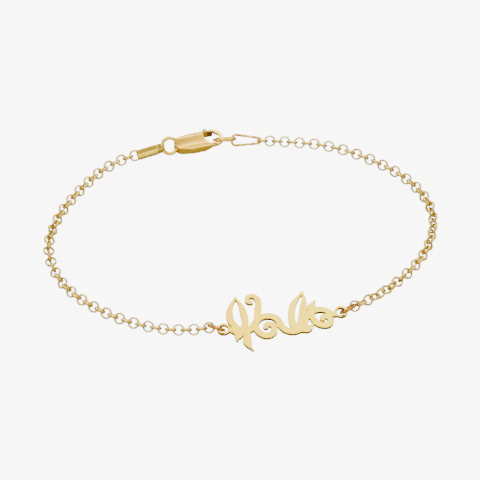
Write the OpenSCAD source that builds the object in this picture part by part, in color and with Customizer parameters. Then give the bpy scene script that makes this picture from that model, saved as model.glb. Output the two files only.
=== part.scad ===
// Nameplate bracelet, lying closed on a table: a fine rolo chain, a pierced vine plate and a lobster clasp.
// The middle of the loop's box is the origin, the table is z = 0, and the plate is on the near side.

/* [Chain] */
// Outer diameter of a rolo link
link_od = 2.01; // [2:0.01:2.03]
// Thickness of a link's flat wire, from its hole outwards
link_wire = 0.26; // [0.25:0.01:0.27]
// Width of that wire across the link
link_width = 0.44; // [0.4:0.01:0.45]
// Distance from one link's middle to the next on the left strand
left_pitch = 1.322; // [1.318:0.001:1.325]
// The same on the right strand
right_pitch = 1.335; // [1.333:0.001:1.337]

/* [Plate] */
// Thickness of the plate's sheet
plate_t = 0.6; // [0.5:0.02:0.62]
// Outer diameter of an eyelet
eyelet_od = 2.35; // [2.3:0.05:2.4]
// Hole of an eyelet
eyelet_hole = 1.5; // [1.48:0.01:1.52]
// Outer diameter of the two jump rings that hold the plate
plate_ring_od = 3.3; // [3.28:0.01:3.32]
// Wire of those two rings
plate_ring_wire = 0.44; // [0.4:0.01:0.45]

/* [Tag] */
// Length of the folded tag
tag_l = 3.8; // [3.6:0.05:3.9]
// Width of the folded tag
tag_w = 2.1; // [2:0.05:2.3]
// Thickness of the folded tag
tag_t = 1.25; // [1.2:0.05:1.3]
// Length of the lug beyond the tag
lug_l = 1.4; // [1.35:0.05:1.5]
// Outer diameter of the ring between tag and clasp
tag_ring_od = 3.35; // [3.3:0.01:3.4]
// Wire of that ring
tag_ring_wire = 0.56; // [0.5:0.01:0.58]

/* [Clasp] */
// Length of the clasp from tail to hook
clasp_l = 9.2; // [9:0.05:9.3]
// Width of the clasp across its body
clasp_w = 3.9; // [3.8:0.05:4]
// Thickness of the clasp at its crown
clasp_t = 1.8; // [1.75:0.05:1.9]
// Radius of the rivet that the lever turns on
rivet_r = 0.35; // [0.3:0.05:0.35]

/* [Far end] */
// Outer diameter of the ring in the hook
catch_ring_od = 4.2; // [4.18:0.01:4.22]
// Wire of that ring
catch_ring_wire = 0.48; // [0.44:0.01:0.49]
// Length of the drop-shaped loop
drop_l = 5.56; // [5.54:0.01:5.58]
// Width of the drop-shaped loop
drop_w = 2.3; // [2.2:0.02:2.4]
// Wire of the drop-shaped loop
drop_wire = 0.4; // [0.36:0.01:0.41]

/* [Hidden] */
gold = "gold";
// Air between two pieces that link, and between two that slide
gap = 0.1;
fit = 0.04;
// Straight wire is this much thinner than its bends, and runs this far into them
thin = 0.01;
sink = 0.03;
// Middle of the loop's box on the drawing, which goes to the origin
loop_middle = [0.188, 0.757];
// Sides of a drawn circle, of a wire's section and of a short curve
round_n = 48;
wire_n = 24;
curve_n = 8;

// Route of the two strands: [x, y, heading] of the first link, the turn over each eighth of the strand,
// and the links between which the strand twists by a quarter turn
left_start = [-5.32, -20.7, 193];
left_turns = [-23, -17, -16, -27, -32, -18, -10, -29];
left_links = 51;
left_twist = [22, 32];
right_start = [19.83, -15.69, 26];
right_turns = [18, 16.3, 24, 35, 24, 11.1, 18.9, 3.9];
right_links = 50;
right_twist = [0, 11];
link_r = (link_od - link_wire) / 2;
// Corners that are cut off the flat wire, towards the link's hole and outside
link_cut_in = 0.11;
link_cut_out = 0.09;
// Links lean by turns to either side
link_lean = 45;

// Plate: middle between its eyelets, its turn in plan, its tilt down to the near side
plate_middle = [7.3, -19.17];
plate_turn = 11.3;
plate_tilt = 6;
// Eyelets along the plate, and how far its lowest leaf hangs
eyelet_u = 10.3;
plate_low_v = 5.45;
plate_lift = plate_low_v * sin(plate_tilt);
// Strokes of the vine, through knots of [along the plate, across it, heading, width]
vine = [
    // stem from eyelet to eyelet
    [[-9.4, -0.2, -30, 1.05], [-7.3, -1.3, 0, 1.25], [-5.3, -0.4, 50, 1.2], [-2.7, 1.4, 0, 1.2],
     [-0.6, -0.4, -85, 1.25], [1.6, -2.65, 0, 1.25], [3.9, -0.7, 72, 1.1], [6.4, 1.1, 5, 1.1],
     [8.3, 0.2, -50, 1.1], [9.5, -0.3, 15, 1.05]],
    // tall open leaf on the left, its two sides
    [[-7.2, -1.2, 128, 1.1], [-8.8, 2.4, 86, 1.25], [-7.1, 6.1, 56, 0.45]],
    [[-7.2, -1.2, 60, 1.1], [-6.3, 2.2, 92, 1.25], [-7.1, 6.1, 120, 0.45]],
    // fern tip
    [[-5.3, -0.6, 45, 1.2], [-3.9, 2.3, 80, 1.25], [-3.35, 4.7, 92, 1.1], [-4.35, 6.05, 180, 0.9],
     [-5.2, 5.25, 270, 0.8], [-4.6, 4.65, 0, 0.75]],
    // hanging leaf and its small fellow
    [[-6.2, -0.9, -105, 1], [-6.8, -3.2, -92, 1.55], [-6.2, -5.25, -62, 0.35]],
    [[-7.3, -1.2, -160, 1], [-8.1, -1.9, -125, 1.35], [-8.5, -2.8, -100, 0.35]],
    // left volute
    [[-4.7, 0.3, -110, 1.1], [-3, -2.7, 0, 1.25], [-1.7, -1.2, 95, 1.1], [-2.65, -0.35, 190, 1],
     [-3.1, -0.9, 280, 0.95]],
    // open leaf on the right, its two sides
    [[1.9, -2.5, 110, 1.1], [2, 1.8, 76, 1.25], [4.5, 5.3, 52, 0.45]],
    [[1.9, -2.5, 50, 1.1], [4, 1.8, 72, 1.25], [4.5, 5.3, 98, 0.45]],
    // bud
    [[4.9, 0.5, 60, 0.95], [5.5, 1.7, 66, 1.6], [6.3, 3, 40, 0.35]],
    // right volute
    [[5.3, 0.8, -110, 1.1], [7.2, -2.35, 0, 1.25], [8.2, -1.3, 95, 1.1], [7.3, -0.5, 190, 1],
     [6.85, -0.95, 280, 0.95]],
    // leaflet
    [[2.6, -2.5, -10, 1], [3.9, -2.5, 12, 1.5], [5, -1.8, 50, 0.35]]
];
// Length of a curve's handle at each knot, as a share of the distance between the knots
handle = 0.39;

// Rings and tag: place on the drawing, heading and lean; a positive lean lifts the far side
left_ring_at = [-4.088, -21.147];
left_ring_turn = -23.9;
left_ring_lean = -46.9;
right_ring_at = [18.67, -16.758];
right_ring_turn = 40.1;
right_ring_lean = -47.2;
tag_at = [-16.58, 21.3, 0.88];
tag_turn = 18;
tag_rise = 6;
lug_w = 1.5;
lug_step = 0.1;
tag_ring_at = [-12.6, 22.55];
tag_ring_turn = 12;
tag_ring_lean = 45;
catch_ring_at = [-2.76, 23.98];
catch_ring_turn = 5.6;
catch_ring_lean = -40.8;
drop_turn = 4.5;
drop_tip = 6;
drop_corner = 0.75;
drop_end = 0.52;

// Clasp: place of its tail tip, and its turn; then sizes along it from that tip
clasp_at = [-11.8, 22.75, 0];
clasp_turn = 16.5;
tail_r = 1.6;
body_x = 3.3;
crown_r = 3.6;
long_crown_r = 20;
hook_x = clasp_l - clasp_w / 2;
pocket_at = [7.05, -0.1];
pocket_r = 1.4;
hook_lift = 0.7;
hook_ramp = [5.4, 6.9];
lever_at = [4.1, 0.75];
lever_z = 0.35;
lever_h = 0.8;
lever_hub_r = 0.75;
lever_reach = 3.46;
bar_from = 0.1;
gate_foot = 0.05;
// Rivet: its foot above the table, how far its bore stops below the crown, and how far it does
rivet_z = 0.02;
bore_cover = 0.15;
rivet_cover = 0.19;
tip_gap = 0.07;
knob_x = 6.35;
knob_r = 0.4;
knob_reach = 0.45;

// Change of place over a run that turns by a degrees from heading h
function bend(run, a, h) = abs(a) < 0.01
    ? run * [cos(h), sin(h)]
    : run * 180 / (a * PI) * [sin(h + a) - sin(h), cos(h) - cos(h + a)];
// Where a walk of equal arcs stands after s: [x, y, heading]
function walk(at, turns, run, s, i = 0) =
    let (use = min(s, run), a = turns[i] * use / run, step = bend(use, a, at.z),
         next = [at.x + step.x, at.y + step.y, at.z + a])
    s <= run || i == len(turns) - 1 ? next : walk(next, turns, run, s - use, i + 1);
function link_place(start, turns, pitch, count, i) =
    walk(start, turns, (count - 1) * pitch / len(turns), i * pitch);

// Smooth curve between knots a and b at t: [x, y, heading, width]
function on_curve(a, b, t) =
    let (p = [a.x, a.y], q = [b.x, b.y], k = handle * norm(q - p),
         p1 = p + k * [cos(a.z), sin(a.z)], q1 = q - k * [cos(b.z), sin(b.z)], s = 1 - t,
         at = s * s * s * p + 3 * s * s * t * p1 + 3 * s * t * t * q1 + t * t * t * q,
         way = s * s * (p1 - p) + 2 * s * t * (q1 - p1) + t * t * (q - q1),
         ease = t * t * (3 - 2 * t))
    [at.x, at.y, atan2(way.y, way.x), a[3] + (b[3] - a[3]) * ease];
function stroke_points(knots) = [
    for (i = [0 : len(knots) - 2], j = [0 : curve_n - 1]) on_curve(knots[i], knots[i + 1], j / curve_n),
    on_curve(knots[len(knots) - 2], knots[len(knots) - 1], 1)
];
function aside(p, d) = [p.x - d * sin(p.z), p.y + d * cos(p.z)];

// One stroke of sheet with round ends
module stroke(knots) {
    points = stroke_points(knots);
    last = len(points) - 1;
    linear_extrude(plate_t)
        polygon([for (p = points) aside(p, p[3] / 2),
                 for (i = [last : -1 : 0]) aside(points[i], -points[i][3] / 2)]);
    for (p = [points[0], points[last]])
        translate([p.x, p.y, 0])
            cylinder(d = p[3], h = plate_t, $fn = wire_n);
}

// Wire ring round the z axis
module ring(od, wire) {
    rotate_extrude($fn = round_n)
        translate([(od - wire) / 2, 0])
            circle(d = wire, $fn = wire_n);
}

// Moves a drawn piece to its place on the table
module place(at, turn = 0) {
    translate([at.x - loop_middle.x, at.y - loop_middle.y, at.z])
        rotate([0, 0, turn])
            children();
}

// A ring that rests on the table with its wire, leaning to one side; with air, the room round it
module leaning_ring(at, turn, lean, od, wire, air = 0) {
    place([at.x, at.y, (od - wire) / 2 * abs(sin(lean)) + wire / 2], turn)
        rotate([lean, 0, 0])
            ring(od + 2 * air, wire + 2 * air);
}

// Lean and height of link i, with its neighbours at the same height
function lean_at(first, twist, i) = (i % 2 == 0 ? first : -first)
    + 90 * min(1, max(0, (i - twist[0]) / (twist[1] - twist[0])));
function link_height(lean) =
    let (steep = max(abs(sin(lean)), abs(cos(lean))))
    steep * link_od / 2 + sqrt(1 - steep * steep) * (link_width / 2 - link_cut_out);

// Ring of flat wire with its corners cut off; with air, the room round it
module flat_ring(air = 0) {
    inside = link_od / 2 - link_wire - air;
    outside = link_od / 2 + air;
    side = link_width / 2 + air;
    rotate_extrude($fn = round_n)
        polygon([[inside, link_cut_in - side], [inside + link_cut_in, -side],
                 [outside - link_cut_out, -side], [outside, link_cut_out - side],
                 [outside, side - link_cut_out], [outside - link_cut_out, side],
                 [inside + link_cut_in, side], [inside, side - link_cut_in]]);
}

module chain_link(at, lean, air = 0) {
    place([at.x, at.y, link_height(lean)], at.z)
        rotate([lean, 0, 0])
            flat_ring(air);
}

module left_link(i, air = 0) {
    at = link_place(left_start, left_turns, left_pitch, left_links, i);
    chain_link(at, lean_at(-link_lean, left_twist, i), air);
}

module right_link(i) {
    at = link_place(right_start, right_turns, right_pitch, right_links, i);
    chain_link(at, lean_at(link_lean, right_twist, i));
}

module chain_left() {
    color(gold)
        for (i = [0 : left_links - 1])
            left_link(i);
}

module chain_right() {
    color(gold)
        for (i = [0 : right_links - 1])
            right_link(i);
}

module nameplate() {
    color("khaki")
        place([plate_middle.x, plate_middle.y, plate_lift], plate_turn)
            rotate([plate_tilt, 0, 0])
                difference() {
                    union() {
                        for (knots = vine)
                            stroke(knots);
                        for (u = [-eyelet_u, eyelet_u])
                            translate([u, 0, 0])
                                cylinder(d = eyelet_od, h = plate_t, $fn = round_n);
                    }
                    for (u = [-eyelet_u, eyelet_u])
                        translate([u, 0, -plate_t])
                            cylinder(d = eyelet_hole, h = 3 * plate_t, $fn = round_n);
                }
}

module plate_ring_left() {
    color("goldenrod")
        leaning_ring(left_ring_at, left_ring_turn, left_ring_lean, plate_ring_od, plate_ring_wire);
}

module plate_ring_right() {
    color("goldenrod")
        leaning_ring(right_ring_at, right_ring_turn, right_ring_lean, plate_ring_od, plate_ring_wire);
}

module tag_ring(air = 0) {
    color(gold)
        leaning_ring(tag_ring_at, tag_ring_turn, tag_ring_lean, tag_ring_od, tag_ring_wire, air);
}

// Bar with round long edges along x, from the origin
module round_bar(l, w, t) {
    rotate([90, 0, 90])
        linear_extrude(l)
            union() {
                square([w - t, t], center = true);
                for (side = [-1, 1])
                    translate([side * (w - t) / 2, 0])
                        circle(d = t, $fn = round_n);
            }
}

// Folded tag with a lug for the ring, and a hole for the strand's last link
module end_tag() {
    color("darkgoldenrod")
        difference() {
            place(tag_at, tag_turn)
                rotate([0, -tag_rise, 0]) {
                    translate([-tag_l / 2, 0, 0])
                        round_bar(tag_l, tag_w, tag_t);
                    translate([tag_l / 2 - sink, -lug_w / 2, -tag_t / 2 + lug_step])
                        cube([lug_l - lug_w / 2 + sink, lug_w, tag_t - 2 * lug_step]);
                    translate([tag_l / 2 + lug_l - lug_w / 2, 0, -tag_t / 2 + lug_step])
                        cylinder(d = lug_w, h = tag_t - 2 * lug_step, $fn = round_n);
                }
            left_link(left_links - 1, gap);
            tag_ring(gap);
        }
}

// Clasp's block before it is domed: round tail, two straight flanks, body and hook
module clasp_block() {
    a = asin((clasp_w / 2 - tail_r) / (body_x - tail_r));
    t1 = [tail_r - tail_r * sin(a), tail_r * cos(a)];
    t2 = [body_x - clasp_w / 2 * sin(a), clasp_w / 2 * cos(a)];
    linear_extrude(clasp_t)
        polygon([t1, t2, [t2.x, -t2.y], [t1.x, -t1.y]]);
    translate([tail_r, 0, 0])
        cylinder(r = tail_r, h = clasp_t, $fn = round_n);
    translate([body_x, 0, 0])
        cylinder(d = clasp_w, h = clasp_t, $fn = round_n);
    translate([body_x, -clasp_w / 2, 0])
        cube([hook_x - body_x, clasp_w, clasp_t]);
    translate([hook_x, 0, 0])
        cylinder(d = clasp_w, h = clasp_t, $fn = round_n);
}

// Crown of the clasp, domed along and across
module clasp_crown() {
    translate([0, 0, clasp_t - crown_r])
        rotate([0, 90, 0])
            cylinder(r = crown_r, h = clasp_l, $fn = round_n);
}

module clasp_long_crown() {
    translate([body_x, clasp_w, clasp_t - long_crown_r])
        rotate([90, 0, 0])
            cylinder(r = long_crown_r, h = 2 * clasp_w, $fn = 2 * round_n);
}

// Room under the hook for the ring that it holds
module hook_room() {
    translate([0, clasp_w, 0])
        rotate([90, 0, 0])
            linear_extrude(2 * clasp_w)
                polygon([[hook_ramp[0], -1], [hook_ramp[0], 0], [hook_ramp[1], hook_lift],
                         [clasp_l + 1, hook_lift], [clasp_l + 1, -1]]);
}

// Room in the body where the lever turns, open to the far side, up to the hook's tip
module lever_slot() {
    translate([lever_at.x, lever_at.y, lever_z - fit])
        cylinder(r = lever_hub_r + gap, h = lever_h + 2 * fit, $fn = round_n);
    translate([lever_at.x, lever_at.y - lever_hub_r - gap, lever_z - fit])
        cube([pocket_at.x - lever_at.x, clasp_w, lever_h + 2 * fit]);
    intersection() {
        translate([pocket_at.x - pocket_r, 0, -1])
            cube([2 * pocket_r, clasp_w, clasp_t + 2]);
        translate([lever_at.x, lever_at.y, -1])
            cylinder(r = lever_reach + tip_gap, h = clasp_t + 2, $fn = 2 * round_n);
    }
}

module clasp_body() {
    color(gold)
        difference() {
            place(clasp_at, clasp_turn)
                difference() {
                    intersection() {
                        clasp_block();
                        clasp_crown();
                        clasp_long_crown();
                    }
                    translate([pocket_at.x, pocket_at.y, -1])
                        cylinder(r = pocket_r, h = clasp_t + 2, $fn = round_n);
                    hook_room();
                    lever_slot();
                    translate([lever_at.x, lever_at.y, -1])
                        cylinder(r = rivet_r + fit, h = clasp_t - bore_cover + 1, $fn = round_n);
                }
            tag_ring(gap);
        }
}

// Gate with its hub, its bar, its full height where it closes the hook, and its thumb knob
module clasp_lever() {
    bar_y = pocket_at.y + pocket_r;
    bar_w = clasp_w / 2 - bar_y;
    color(gold)
        place(clasp_at, clasp_turn)
            difference() {
                union() {
                    translate([lever_at.x, lever_at.y, lever_z])
                        cylinder(r = lever_hub_r, h = lever_h, $fn = round_n);
                    intersection() {
                        union() {
                            translate([lever_at.x + bar_from, bar_y, lever_z])
                                cube([clasp_l, bar_w, lever_h]);
                            translate([pocket_at.x - pocket_r + gap, bar_y, gate_foot])
                                cube([clasp_l, bar_w, clasp_t]);
                        }
                        translate([lever_at.x, lever_at.y, 0])
                            cylinder(r = lever_reach, h = clasp_t, $fn = 2 * round_n);
                        clasp_crown();
                        clasp_long_crown();
                    }
                    translate([knob_x, bar_y + bar_w / 2, lever_z + lever_h / 2])
                        rotate([-90, 0, 0])
                            cylinder(r = knob_r, h = knob_reach + bar_w / 2, $fn = wire_n);
                    translate([knob_x, clasp_w / 2 + knob_reach, lever_z + lever_h / 2])
                        sphere(knob_r, $fn = wire_n);
                }
                translate([lever_at.x, lever_at.y, 0])
                    cylinder(r = rivet_r + fit, h = clasp_t, $fn = round_n);
            }
}

module clasp_rivet() {
    color("goldenrod")
        place(clasp_at, clasp_turn)
            translate([lever_at.x, lever_at.y, rivet_z])
                cylinder(r = rivet_r, h = clasp_t - rivet_cover - rivet_z, $fn = round_n);
}

module catch_ring() {
    color("goldenrod")
        leaning_ring(catch_ring_at, catch_ring_turn, catch_ring_lean, catch_ring_od, catch_ring_wire);
}

// A bend of the drop's wire round [x, y], from one angle over a sweep
module wire_bend(at, r, from, sweep) {
    translate([at.x, at.y, 0])
        rotate([0, 0, from])
            rotate_extrude(angle = sweep, $fn = round_n)
                translate([r, 0])
                    circle(d = drop_wire, $fn = wire_n);
}

// A straight of the drop's wire between two points, sunk into the bends at both ends
module wire_run(p, q) {
    way = q - p;
    translate([p.x, p.y, 0])
        rotate([0, 0, atan2(way.y, way.x)])
            translate([-sink, 0, 0])
                rotate([0, 90, 0])
                    cylinder(d = drop_wire - thin, h = norm(way) + 2 * sink, $fn = wire_n);
}

// Closed loop of wire with a wide left end, and a narrow right end that holds the last link
module teardrop_loop() {
    last = link_place(right_start, right_turns, right_pitch, right_links, right_links - 1);
    last_z = link_height(lean_at(link_lean, right_twist, right_links - 1));
    half = (drop_w - drop_wire) / 2 - drop_corner;
    run = drop_l - drop_wire - drop_corner - drop_end;
    slope = atan2(-half, run) + acos((drop_corner - drop_end) / norm([run, half]));
    wire_end = [run, 0];
    out = [cos(slope), sin(slope)];
    mirrored = [out.x, -out.y];
    // The narrow bend's middle lies in the wire of the last link
    hold = [last.x + link_r * cos(last.z), last.y + link_r * sin(last.z)];
    color("khaki")
        place([hold.x, hold.y, last_z], drop_turn)
            rotate([0, drop_tip, 0])
                rotate([link_lean, 0, 0])
                    translate([-run, 0, 0]) {
                        wire_bend([0, half], drop_corner, slope, 180 - slope);
                        wire_bend([0, -half], drop_corner, 180, 180 - slope);
                        wire_bend(wire_end, drop_end, -slope, 2 * slope);
                        wire_run([-drop_corner, half], [-drop_corner, -half]);
                        wire_run([0, half] + drop_corner * out, wire_end + drop_end * out);
                        wire_run([0, -half] + drop_corner * mirrored, wire_end + drop_end * mirrored);
                    }
}

nameplate();
plate_ring_left();
plate_ring_right();
chain_left();
chain_right();
end_tag();
tag_ring();
clasp_body();
clasp_lever();
clasp_rivet();
catch_ring();
teardrop_loop();
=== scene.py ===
"""Nameplate bracelet in gold, lying closed on a white table: looks of every piece, stage, light and camera.

Each piece is made by one operator. Sizes are in metres, worked out from the millimetres that a
goldsmith would measure, and every piece sits where the solid of the same name lies.
"""

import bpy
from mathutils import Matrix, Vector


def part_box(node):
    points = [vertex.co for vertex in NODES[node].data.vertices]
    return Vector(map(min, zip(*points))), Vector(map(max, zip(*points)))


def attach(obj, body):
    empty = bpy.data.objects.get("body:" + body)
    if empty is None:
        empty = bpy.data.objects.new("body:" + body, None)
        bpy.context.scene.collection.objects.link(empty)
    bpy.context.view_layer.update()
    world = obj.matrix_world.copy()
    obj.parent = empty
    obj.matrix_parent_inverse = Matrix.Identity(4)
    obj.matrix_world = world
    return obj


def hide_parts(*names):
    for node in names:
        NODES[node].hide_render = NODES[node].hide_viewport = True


bl_info = {
    "name": "Nameplate Bracelet",
    "version": (1, 0, 0),
    "blender": (4, 5, 0),
    "location": "View3D > Sidebar > Bracelet",
    "description": "Builds a gold rolo chain bracelet with a pierced vine plate and a lobster clasp",
    "category": "Add Mesh",
}

import math

import bpy
from bpy.props import FloatProperty, IntProperty, PointerProperty, StringProperty
from bpy.types import Operator, Panel, PropertyGroup
from mathutils import Vector

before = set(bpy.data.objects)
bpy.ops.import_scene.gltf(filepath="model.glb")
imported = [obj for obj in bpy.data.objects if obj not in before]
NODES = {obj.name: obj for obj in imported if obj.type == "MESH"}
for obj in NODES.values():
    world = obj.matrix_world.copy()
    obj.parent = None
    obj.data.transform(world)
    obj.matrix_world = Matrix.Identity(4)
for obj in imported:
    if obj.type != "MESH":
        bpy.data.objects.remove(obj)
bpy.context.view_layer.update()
MM = 0.001

# The photograph's camera: height above the table, distance and lens
VIEW_ANGLE = math.radians(47)
VIEW_DISTANCE = 701.75 * MM
VIEW_LENS = 300.0
# Middle of the loop's box on the drawing, and the middle height of the chain
LOOP_MIDDLE = Vector((0.188, 0.757)) * MM
CHAIN_MIDDLE = 0.705 * MM

# Clasp: the tip of its tail, its turn, and sizes along it from that tip, in millimetres
CLASP_TIP = Vector((-11.8, 22.75)) - LOOP_MIDDLE / MM
CLASP_TURN = math.radians(16.5)
CLASP_TOP = 1.8
CLASP_EDGE = 1.226
CLASP_HALF = 1.95
CLASP_BODY = 3.3
CLASP_LONG_RADIUS = 20.0
POCKET = Vector((7.05, -0.1))
POCKET_RADIUS = 1.4

# Pillow of the clasp: how flat it is across, how softly its two crowns meet, how far below it the
# cast top may lie, and how much a normal has to point up to belong to that top
CROWN_POWER = 2.6
CROWN_BLEND = 0.12
CROWN_DEPTH = 0.15
CROWN_UPWARD = 0.3

# A face is a wall of the plate, or of the hook's hollow, where its normal points up less than this; these
# walls get painted shade
PLATE_SHADE_WALL = 0.86
HOLLOW_SHADE_WALL = 0.6
# How far outside the pocket's circle the hollow's walls with painted shade may lie, in millimetres
HOLLOW_REACH = 0.1

# Corners of triangles that lie closer than this are one corner
MERGE_DISTANCE = 0.0005 * MM
# Passes of smoothing for the plate, which keeps crisper edges than a casting
PLATE_POLISH = 3

# Gold: size of the soft drifts of colour in millimetres, what they do to the colour, how much
# the gloss varies, and how strongly the tool's marks show
DRIFT_SIZE = 2.2
DRIFT_SATURATION = 1.18
DRIFT_VALUE = 0.86
GLOSS_SPREAD = 0.12
MARK_STRENGTH = 0.6
# Sheet is rubbed from left to right, so its marks are four times as long that way
RUBBED = (1, 4, 1)
# Sockets of a Mix node for colours: its share, the two colours that it goes between, and what comes out
MIX_SHARE = 0
MIX_FROM = 6
MIX_TO = 7
MIX_RESULT = 2

TABLE_SIZE = 6.0
SKY_COLOUR = (1.0, 0.97, 0.92, 1.0)
# Brightness of table and sky to the camera, and where gold mirrors them
SEEN_WHITE = 8.0
TABLE_MIRRORED = 0.0
SKY_MIRRORED = 0.5

# Soft lamps, all at one distance from the middle of the bracelet
LAMP_DISTANCE = 0.95
# Each lamp: name, turn from the right and height in degrees, width and length in metres, radiance
SOFTBOXES = (
    ("far softbox", (90, 65), (1.1, 0.36), 3.4),
    ("right far softbox", (69, 40), (0.26, 0.3), 5.0),
    ("top softbox", (270, 80), (0.8, 0.4), 2.4),
    ("far low softbox", (90, 22), (1.2, 0.3), 4.6),
    ("front softbox", (262, 52), (0.8, 0.4), 2.4),
    ("near low softbox", (272, 17), (1.0, 0.24), 2.6),
    ("left softbox", (175, 28), (0.6, 0.35), 4.0),
    ("right softbox", (5, 30), (0.5, 0.3), 3.0),
)


class BraceletSizes(PropertyGroup):
    """Sizes that a user may change."""

    voxel: FloatProperty(
        name="Casting grain", description="Cell of the remesh that rounds a cast piece",
        default=0.045 * MM, unit="LENGTH", precision=6)
    plate_voxel: FloatProperty(
        name="Plate grain", description="Cell of the remesh that rounds the plate",
        default=0.055 * MM, unit="LENGTH", precision=6)
    polish: IntProperty(
        name="Polish", description="Passes of smoothing that a cast piece gets", default=5)
    fullness: FloatProperty(
        name="Full wire", description="How far wire closes the air that its solid leaves",
        default=0.042 * MM, unit="LENGTH", precision=6)
    smooth_angle: FloatProperty(
        name="Smooth angle", description="Edges flatter than this are shaded smooth",
        default=math.radians(50), subtype="ANGLE")


class BraceletColours(PropertyGroup):
    """Colours of the alloys, of the painted shade on walls, and of the table, as sRGB hex."""

    plate_left: StringProperty(
        name="Plate, left", description="Warm end of the plate's face", default="#FFCB0E")
    plate_right: StringProperty(
        name="Plate, right", description="Lemon end of the plate's face", default="#FFE60E")
    # Painted shade: a darker brown that stands in for the shade on the plate's walls
    plate_edge_shade: StringProperty(
        name="Sawn edge", description="Walls of the pierced sheet", default="#A8783A")
    wire: StringProperty(
        name="Chain wire", description="Drawn wire of the chain", default="#F0D068")
    ring: StringProperty(
        name="Plate rings", description="Heavier, redder wire beside the plate", default="#C88428")
    # Painted shade: a darker brown that stands in for the shade inside the hook
    hollow_shade: StringProperty(
        name="Hollow", description="Unpolished walls inside the hook", default="#A8742C")
    clasp: StringProperty(
        name="Clasp", description="Cast and polished clasp, and the rings by it", default="#FFCD44")
    tag: StringProperty(
        name="Tag", description="Folded sheet of the end tag", default="#E8BE4C")
    floor: StringProperty(
        name="Table", description="Paint of the table, as gold and shade see it", default="#A09C96")


def sizes():
    return bpy.context.scene.bracelet_sizes


def colours():
    return bpy.context.scene.bracelet_colours


def linear(hex_colour):
    """Turns an sRGB hex value to the linear colour that a shader reads."""
    parts = [int(hex_colour[i:i + 2], 16) / 255 for i in (1, 3, 5)]
    bent = [c / 12.92 if c <= 0.04045 else ((c + 0.055) / 1.055) ** 2.4 for c in parts]
    return (*bent, 1.0)


def node(tree, kind, settings=None, inputs=None, links=None):
    """Adds one node: its settings, the values of its inputs, and what feeds them."""
    made = tree.nodes.new(kind)
    for name, value in (settings or {}).items():
        setattr(made, name, value)
    for name, value in (inputs or {}).items():
        made.inputs[name].default_value = value
    for name, socket in (links or {}).items():
        tree.links.new(socket, made.inputs[name])
    return made


def new_material(name):
    """An empty material and its node tree."""
    material = bpy.data.materials.new(name)
    material.use_nodes = True
    material.node_tree.nodes.clear()
    return material, material.node_tree


def deselect():
    if bpy.context.object and bpy.context.object.mode != "OBJECT":
        bpy.ops.object.mode_set(mode="OBJECT")
    bpy.ops.object.select_all(action="DESELECT")


def pick(piece):
    deselect()
    piece.select_set(True)
    bpy.context.view_layer.objects.active = piece


def copy_of(name, new_name):
    """A copy of a solid's mesh with its loose triangles merged."""
    piece = bpy.data.objects.new(new_name, NODES[name].data.copy())
    bpy.context.scene.collection.objects.link(piece)
    piece.data.materials.clear()
    pick(piece)
    bpy.ops.object.mode_set(mode="EDIT")
    bpy.ops.mesh.select_all(action="SELECT")
    bpy.ops.mesh.remove_doubles(threshold=MERGE_DISTANCE)
    bpy.ops.object.mode_set(mode="OBJECT")
    return piece


def apply_all(piece):
    pick(piece)
    for modifier in list(piece.modifiers):
        bpy.ops.object.modifier_apply(modifier=modifier.name)


def keep_inside(piece, name):
    """Holds a piece inside the box of the solid that it stands for."""
    low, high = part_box(name)
    for vertex in piece.data.vertices:
        vertex.co = [min(max(vertex.co[i], low[i]), high[i]) for i in range(3)]


def cast_round(piece, name, voxel, passes):
    """Rounds every edge as casting and tumbling do: an even mesh, then a few passes of smoothing."""
    remesh = piece.modifiers.new("even mesh", "REMESH")
    remesh.mode = "VOXEL"
    remesh.voxel_size = voxel
    remesh.adaptivity = 0.0
    smooth = piece.modifiers.new("polish", "SMOOTH")
    smooth.factor = 0.5
    smooth.iterations = passes
    apply_all(piece)
    keep_inside(piece, name)


def fill_out(piece, name):
    """Swells wire until links all but touch, as real ones do."""
    swell = piece.modifiers.new("full wire", "DISPLACE")
    swell.mid_level = 0.0
    swell.strength = sizes().fullness
    apply_all(piece)
    keep_inside(piece, name)


def dress(piece, material, body, slot, *replaced):
    """Gives a piece its finish, the body that it rides on and the solid that it stands for."""
    piece.data.materials.append(material)
    pick(piece)
    bpy.ops.object.shade_smooth_by_angle(angle=sizes().smooth_angle)
    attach(piece, body)
    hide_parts(*replaced)
    deselect()


def second_finish_with_shade(piece, material, belongs):
    """Gives a second material to the faces that belong to it; here that material carries painted shade."""
    piece.data.materials.append(material)
    for polygon in piece.data.polygons:
        if belongs(polygon):
            polygon.material_index = 1


def two_colours(tree, place, left, right, across):
    """A colour that drifts from left to right between two places on X."""
    where = node(tree, "ShaderNodeSeparateXYZ", links={"Vector": place}).outputs["X"]
    share = node(tree, "ShaderNodeMapRange", inputs={"From Min": across[0], "From Max": across[1]},
                 links={"Value": where})
    mix = node(tree, "ShaderNodeMix", {"data_type": "RGBA"},
               inputs={MIX_FROM: linear(left), MIX_TO: linear(right)},
               links={MIX_SHARE: share.outputs["Result"]})
    return mix.outputs[MIX_RESULT]


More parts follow.
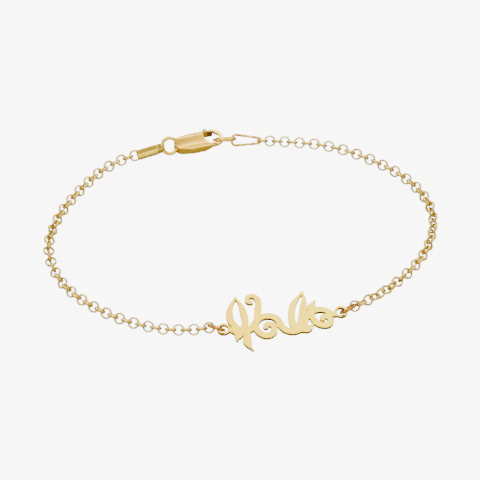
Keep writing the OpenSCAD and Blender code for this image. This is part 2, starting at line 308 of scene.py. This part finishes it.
def metal(name, colour, roughness, grain_mm, bump_um, stretch=(1, 1, 1), second=None, across=None):
    """A gold alloy: its colour drifts softly, and fine marks of the tool break its gloss.

    grain_mm is the size of the tool's marks and bump_um their depth in thousandths of a millimetre.
    A second colour, if there is one, is reached between the two places on X that across gives.
    """
    material, tree = new_material(name)
    place = node(tree, "ShaderNodeTexCoord").outputs["Object"]
    drift = node(tree, "ShaderNodeTexNoise", inputs={"Scale": 1 / (DRIFT_SIZE * MM), "Detail": 3.0},
                 links={"Vector": place})
    marks_at = node(tree, "ShaderNodeMapping", inputs={"Scale": stretch}, links={"Vector": place})
    marks = node(tree, "ShaderNodeTexNoise",
                 inputs={"Scale": 1 / (grain_mm * MM), "Detail": 4.0, "Roughness": 0.6},
                 links={"Vector": marks_at.outputs["Vector"]})
    warm = node(tree, "ShaderNodeHueSaturation",
                inputs={"Color": linear(colour), "Saturation": DRIFT_SATURATION, "Value": DRIFT_VALUE})
    mix = node(tree, "ShaderNodeMix", {"data_type": "RGBA"}, inputs={MIX_FROM: linear(colour)},
               links={MIX_TO: warm.outputs["Color"], MIX_SHARE: drift.outputs["Fac"]})
    if second:
        alloy = two_colours(tree, place, colour, second, across)
        tree.links.new(alloy, warm.inputs["Color"])
        tree.links.new(alloy, mix.inputs[MIX_FROM])
    rough = node(tree, "ShaderNodeMapRange",
                 inputs={"To Min": roughness - GLOSS_SPREAD / 2, "To Max": roughness + GLOSS_SPREAD / 2},
                 links={"Value": marks.outputs["Fac"]})
    bump = node(tree, "ShaderNodeBump",
                inputs={"Strength": MARK_STRENGTH, "Distance": bump_um * MM / 1000},
                links={"Height": marks.outputs["Fac"]})
    shader = node(tree, "ShaderNodeBsdfPrincipled", inputs={"Metallic": 1.0},
                  links={"Base Color": mix.outputs[MIX_RESULT], "Roughness": rough.outputs["Result"],
                         "Normal": bump.outputs["Normal"]})
    node(tree, "ShaderNodeOutputMaterial", links={"Surface": shader.outputs["BSDF"]})
    return material


class BRACELET_OT_plate(Operator):
    """Pierced vine plate: sawn from sheet, its face satin, its walls darker with painted shade"""

    bl_idname = "bracelet.plate"
    bl_label = "Vine Plate"

    def execute(self, context):
        piece = copy_of("nameplate", "vine_plate")
        cast_round(piece, "nameplate", sizes().plate_voxel, PLATE_POLISH)
        low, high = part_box("nameplate")
        # Satin gold: 14 carat sheet rubbed with fine abrasive, so it gleams softly, warm to lemon
        face = metal("satin gold sheet", colours().plate_left, roughness=0.3, grain_mm=0.35, bump_um=6,
                     stretch=RUBBED, second=colours().plate_right, across=(low.x, high.x))
        dress(piece, face, "bracelet", "satin_gold", "nameplate")
        # Sawn gold with painted shade: the walls keep the saw's marks as a fine bump, and a darker brown
        # colour stands in for the shade on them
        sawn_and_painted_shade = metal("sawn gold edge", colours().plate_edge_shade, roughness=0.42, grain_mm=0.12, bump_um=12)
        second_finish_with_shade(piece, sawn_and_painted_shade, lambda polygon: polygon.normal.z < PLATE_SHADE_WALL)
        return {"FINISHED"}


class BRACELET_OT_chains(Operator):
    """Both strands of rolo chain: drawn wire, bent round and soldered"""

    bl_idname = "bracelet.chains"
    bl_label = "Rolo Chains"

    def execute(self, context):
        # Drawn gold wire: polished by the draw plate, so it shines, with fine lines in the shine
        wire = metal("drawn gold wire", colours().wire, roughness=0.2, grain_mm=0.2, bump_um=4)
        for name in ("chain_left", "chain_right"):
            strand = copy_of(name, "rolo_" + name)
            fill_out(strand, name)
            dress(strand, wire, "bracelet", "chain_gold", name)
        return {"FINISHED"}


class BRACELET_OT_rings(Operator):
    """Jump rings and the drop-shaped end loop"""

    bl_idname = "bracelet.rings"
    bl_label = "Rings"

    def execute(self, context):
        # Tumbled gold wire: heavier than the chain's, redder and deeper in tone
        warm = metal("tumbled gold wire", colours().ring, roughness=0.2, grain_mm=0.25, bump_um=5)
        # Polished gold wire: of the clasp's alloy, pale and bright
        pale = metal("polished gold wire", colours().clasp, roughness=0.18, grain_mm=0.25, bump_um=4)
        for name, wire in (("plate_ring_left", warm), ("plate_ring_right", warm), ("catch_ring", pale),
                           ("tag_ring", pale), ("teardrop_loop", pale)):
            ring = copy_of(name, name + "_wire")
            fill_out(ring, name)
            dress(ring, wire, "bracelet", "ring_gold", name)
        return {"FINISHED"}


class BRACELET_OT_tag(Operator):
    """Folded end tag with its lug"""

    bl_idname = "bracelet.tag"
    bl_label = "End Tag"

    def execute(self, context):
        piece = copy_of("end_tag", "folded_tag")
        cast_round(piece, "end_tag", sizes().voxel, sizes().polish)
        # Rolled gold sheet: folded over the last link and buffed, so its gleam is even
        sheet = metal("buffed gold sheet", colours().tag, roughness=0.2, grain_mm=0.5, bump_um=2,
                      stretch=RUBBED)
        dress(piece, sheet, "bracelet", "tag_gold", "end_tag")
        return {"FINISHED"}


def along_clasp(point):
    """Where a point lies along and across the clasp, in millimetres from the tip of its tail."""
    way = Vector((point.x, point.y)) / MM - CLASP_TIP
    return Vector((way.x * math.cos(CLASP_TURN) + way.y * math.sin(CLASP_TURN),
                   way.y * math.cos(CLASP_TURN) - way.x * math.sin(CLASP_TURN)))


def crown(piece):
    """Blends the clasp's two crowns to one soft pillow, as tumbling leaves it."""
    # Normals are read before the first vertex moves
    upward = [vertex.index for vertex in piece.data.vertices if vertex.normal.z > CROWN_UPWARD]
    for index in upward:
        vertex = piece.data.vertices[index]
        spot = along_clasp(vertex.co)
        bulge = 1 - min(abs(spot.y) / CLASP_HALF, 1) ** CROWN_POWER
        across = CLASP_EDGE + (CLASP_TOP - CLASP_EDGE) * bulge
        along = CLASP_TOP - (spot.x - CLASP_BODY) ** 2 / (2 * CLASP_LONG_RADIUS)
        low, high = sorted((across, along))
        pillow = low - CROWN_BLEND * math.log(1 + math.exp((low - high) / CROWN_BLEND))
        if vertex.co.z / MM > pillow - CROWN_DEPTH:
            vertex.co.z = pillow * MM


def in_hollow(polygon):
    """Whether a face is a wall inside the hook, which gets painted shade."""
    reach = (along_clasp(polygon.center) - POCKET).length
    return reach < POCKET_RADIUS + HOLLOW_REACH and abs(polygon.normal.z) < HOLLOW_SHADE_WALL


def paint_hollow_shade(piece):
    """Paints shade on the walls inside the hook as a rough, darker brown gold."""
    # Painted shade: rough gold of a dark brown colour, so the hook's opening reads dark
    rough = metal("cast gold with painted shade", colours().hollow_shade, roughness=0.45, grain_mm=0.15, bump_um=10)
    second_finish_with_shade(piece, rough, in_hollow)


class BRACELET_OT_clasp(Operator):
    """Lobster clasp: cast body, gate with thumb knob, and rivet"""

    bl_idname = "bracelet.clasp"
    bl_label = "Lobster Clasp"

    def execute(self, context):
        # Cast gold: tumbled to a soft polish, with slow waves left from the mould
        cast = metal("cast gold", colours().clasp, roughness=0.27, grain_mm=1.1, bump_um=6)
        body = copy_of("clasp_body", "clasp_shell")
        cast_round(body, "clasp_body", sizes().voxel, sizes().polish)
        crown(body)
        dress(body, cast, "bracelet", "clasp_gold", "clasp_body")
        paint_hollow_shade(body)
        gate = copy_of("clasp_lever", "clasp_gate")
        cast_round(gate, "clasp_lever", sizes().voxel, sizes().polish)
        dress(gate, cast, "lever", "clasp_gold", "clasp_lever")
        paint_hollow_shade(gate)
        pin = copy_of("clasp_rivet", "clasp_pin")
        dress(pin, cast, "bracelet", "clasp_gold", "clasp_rivet")
        return {"FINISHED"}


def softbox(name, direction, size, radiance):
    """A soft lamp that faces the bracelet from a direction of turn and height."""
    turn, height = (math.radians(angle) for angle in direction)
    data = bpy.data.lights.new(name, "AREA")
    data.shape = "RECTANGLE"
    data.size = size[0]
    data.size_y = size[1]
    # A lamp of this power shines with the given radiance over its face
    data.energy = 4 * size[0] * size[1] * radiance
    lamp = bpy.data.objects.new(name, data)
    bpy.context.scene.collection.objects.link(lamp)
    spot = Vector((math.cos(turn) * math.cos(height), math.sin(turn) * math.cos(height),
                   math.sin(height))) * LAMP_DISTANCE
    lamp.location = spot
    lamp.rotation_euler = (-spot).to_track_quat("-Z", "Y").to_euler()


def seen_or_mirrored(tree, mirrored):
    """White where the picture looks straight at it, darker where gold mirrors it, as in a light tent."""
    rays = node(tree, "ShaderNodeLightPath")
    return node(tree, "ShaderNodeMapRange", inputs={"To Min": mirrored, "To Max": SEEN_WHITE},
                links={"Value": rays.outputs["Is Camera Ray"]}).outputs["Result"]


def lay_table():
    deselect()
    bpy.ops.mesh.primitive_plane_add(size=TABLE_SIZE, location=(0, 0, 0))
    table = bpy.context.object
    table.name = "table"
    # White table: plain paint, which stays matt
    material, tree = new_material("white table")
    shader = node(tree, "ShaderNodeBsdfPrincipled",
                  inputs={"Base Color": linear(colours().floor), "Roughness": 0.8,
                          "Specular IOR Level": 0.0, "Emission Color": (1, 1, 1, 1)},
                  links={"Emission Strength": seen_or_mirrored(tree, TABLE_MIRRORED)})
    node(tree, "ShaderNodeOutputMaterial", links={"Surface": shader.outputs["BSDF"]})
    table.data.materials.append(material)


def light_sky():
    world = bpy.data.worlds.new("studio")
    bpy.context.scene.world = world
    world.use_nodes = True
    tree = world.node_tree
    tree.nodes.clear()
    glow = node(tree, "ShaderNodeBackground", inputs={"Color": SKY_COLOUR},
                links={"Strength": seen_or_mirrored(tree, SKY_MIRRORED)})
    node(tree, "ShaderNodeOutputWorld", links={"Surface": glow.outputs["Background"]})


def place_camera():
    data = bpy.data.cameras.new("camera")
    data.lens = VIEW_LENS
    data.sensor_width = 36.0
    data.clip_start = 0.01
    data.clip_end = 10.0
    camera = bpy.data.objects.new("camera", data)
    bpy.context.scene.collection.objects.link(camera)
    target = Vector((-LOOP_MIDDLE.x, -LOOP_MIDDLE.y, CHAIN_MIDDLE))
    back = Vector((0, -math.cos(VIEW_ANGLE), math.sin(VIEW_ANGLE)))
    camera.location = target + back * VIEW_DISTANCE
    camera.rotation_euler = (math.pi / 2 - VIEW_ANGLE, 0, 0)
    bpy.context.scene.camera = camera


class BRACELET_OT_stage(Operator):
    """White table, soft light and the camera"""

    bl_idname = "bracelet.stage"
    bl_label = "Stage"

    def execute(self, context):
        lay_table()
        for lamp in SOFTBOXES:
            softbox(*lamp)
        light_sky()
        place_camera()
        return {"FINISHED"}


OPERATORS = (BRACELET_OT_plate, BRACELET_OT_chains, BRACELET_OT_rings, BRACELET_OT_tag,
             BRACELET_OT_clasp, BRACELET_OT_stage)


class BRACELET_PT_panel(Panel):
    """Lists the pieces in the sidebar"""

    bl_label = "Nameplate Bracelet"
    bl_space_type = "VIEW_3D"
    bl_region_type = "UI"
    bl_category = "Bracelet"

    def draw(self, context):
        for group in (context.scene.bracelet_sizes, context.scene.bracelet_colours):
            for name in group.__annotations__:
                self.layout.prop(group, name)
        for operator in OPERATORS:
            self.layout.operator(operator.bl_idname)


CLASSES = (BraceletSizes, BraceletColours, *OPERATORS, BRACELET_PT_panel)


def register():
    for cls in CLASSES:
        bpy.utils.register_class(cls)
    bpy.types.Scene.bracelet_sizes = PointerProperty(type=BraceletSizes)
    bpy.types.Scene.bracelet_colours = PointerProperty(type=BraceletColours)


def unregister():
    del bpy.types.Scene.bracelet_colours
    del bpy.types.Scene.bracelet_sizes
    for cls in reversed(CLASSES):
        bpy.utils.unregister_class(cls)


def main():
    register()
    bpy.ops.bracelet.plate()
    bpy.ops.bracelet.chains()
    bpy.ops.bracelet.rings()
    bpy.ops.bracelet.tag()
    bpy.ops.bracelet.clasp()
    bpy.ops.bracelet.stage()


if __name__ == "__main__":
    main()
